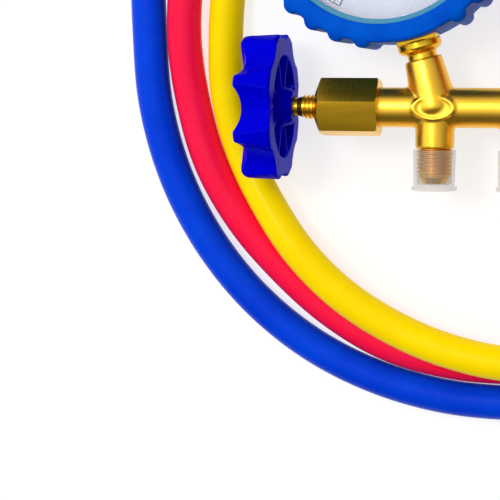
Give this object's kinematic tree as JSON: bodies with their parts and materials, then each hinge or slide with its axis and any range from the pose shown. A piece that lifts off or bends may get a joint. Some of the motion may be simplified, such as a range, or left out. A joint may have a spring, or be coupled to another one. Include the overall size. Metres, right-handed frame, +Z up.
{
  "type": "manifold gauge set",
  "caption": "Service manifold with gauges in rubber boots, handwheel valves, capped flare ports, a hook and coiled charging hoses, lying on its back.",
  "frame": {"origin": "on the floor under the middle of the manifold and gauges, without the hoses", "axes": "+X along the bar from the low side to the high side, +Y from the ports towards the gauges, +Z up from the floor"},
  "size_m": [0.3174, 0.3086, 0.047],
  "materials": {
    "brass": "forged and machined, satin with bright edges",
    "steel": "bright plated",
    "case_metal": "satin black paint",
    "wheel_blue": "gloss moulded",
    "wheel_red": "gloss moulded",
    "boot_blue": "semi-gloss moulded rubber",
    "boot_red": "semi-gloss moulded rubber",
    "dial_face": "matt white print",
    "pointer_red": "satin paint",
    "cap_clear": "clear soft plastic",
    "lens_clear": "clear, polished",
    "hose_blue": "smooth gloss cover",
    "hose_red": "smooth gloss cover",
    "hose_yellow": "smooth gloss cover"
  },
  "bodies": {
    "manifold": {"manifold_body": "brass", "bonnet_low": "brass", "bonnet_high": "brass", "gauge_socket_low": "brass", "gauge_socket_high": "brass", "gauge_case_low": "case_metal", "gauge_case_high": "case_metal", "gauge_boot_low": "boot_blue", "gauge_boot_high": "boot_red", "gauge_bezel_low": "steel", "gauge_bezel_high": "steel", "gauge_dial_low": "dial_face", "gauge_dial_high": "dial_face", "gauge_lens_low": "lens_clear", "gauge_lens_high": "lens_clear", "hose_blue": "hose_blue", "hose_red": "hose_red", "hose_yellow": "hose_yellow", "ferrule_blue_a": "brass", "ferrule_blue_b": "brass", "nut_blue_a": "brass", "nut_blue_b": "brass", "ferrule_red_a": "brass", "ferrule_red_b": "brass", "nut_red_a": "brass", "nut_red_b": "brass", "ferrule_yellow_a": "brass", "ferrule_yellow_b": "brass", "nut_yellow_a": "brass", "nut_yellow_b": "brass"},
    "low_spindle": {"spindle_low": "brass"},
    "low_wheel": {"handwheel_low": "wheel_blue", "wheel_screw_low": "steel"},
    "low_pointer": {"gauge_pointer_low": "pointer_red"},
    "high_spindle": {"spindle_high": "brass"},
    "high_wheel": {"handwheel_high": "wheel_red", "wheel_screw_high": "steel"},
    "high_pointer": {"gauge_pointer_high": "pointer_red"},
    "cap_left": {"port_cap_left": "cap_clear"},
    "cap_centre": {"port_cap_centre": "cap_clear"},
    "cap_right": {"port_cap_right": "cap_clear"},
    "hook": {"hanging_hook": "steel"}
  },
  "joints": [
    {"name": "low_valve_travel", "type": "slide", "parent": "manifold", "child": "low_spindle", "axis": [1, 0, 0], "range_m": [0, 0.0038]},
    {"name": "low_valve_turn", "type": "hinge", "parent": "low_spindle", "child": "low_wheel", "pos_m": [-0.08, -0.03802, 0.02348], "axis": [1, 0, 0], "range_deg": [0, 1080]},
    {"name": "low_pointer_swing", "type": "hinge", "parent": "manifold", "child": "low_pointer", "pos_m": [-0.04265, 0.02153, 0.01705], "axis": [0, -0.1075, -0.9942], "range_deg": [-30, 245], "stiffness_Nm_per_rad": 0.001},
    {"name": "high_valve_travel", "type": "slide", "parent": "manifold", "child": "high_spindle", "axis": [-1, 0, 0], "range_m": [0, 0.0038]},
    {"name": "high_valve_turn", "type": "hinge", "parent": "high_spindle", "child": "high_wheel", "pos_m": [0.08, -0.03802, 0.02348], "axis": [-1, 0, 0], "range_deg": [0, 1080]},
    {"name": "high_pointer_swing", "type": "hinge", "parent": "manifold", "child": "high_pointer", "pos_m": [0.04265, 0.02153, 0.01705], "axis": [0, -0.1075, -0.9942], "range_deg": [0, 250], "stiffness_Nm_per_rad": 0.001},
    {"name": "cap_left_pull", "type": "slide", "parent": "manifold", "child": "cap_left", "axis": [0, -0.9942, 0.1075], "range_m": [0, 0.03]},
    {"name": "cap_centre_pull", "type": "slide", "parent": "manifold", "child": "cap_centre", "axis": [0, -0.9942, 0.1075], "range_m": [0, 0.03]},
    {"name": "cap_right_pull", "type": "slide", "parent": "manifold", "child": "cap_right", "axis": [0, -0.9942, 0.1075], "range_m": [0, 0.03]},
    {"name": "hook_swivel", "type": "hinge", "parent": "manifold", "child": "hook", "pos_m": [0, -0.02012, 0.02155], "axis": [0, 0.9942, -0.1075], "continuous": true}
  ],
  "couplings": [
    {"joint": "low_valve_travel", "follows": "low_valve_turn", "m_per_rad": 0.00019894},
    {"joint": "high_valve_travel", "follows": "high_valve_turn", "m_per_rad": 0.00019894}
  ]
}
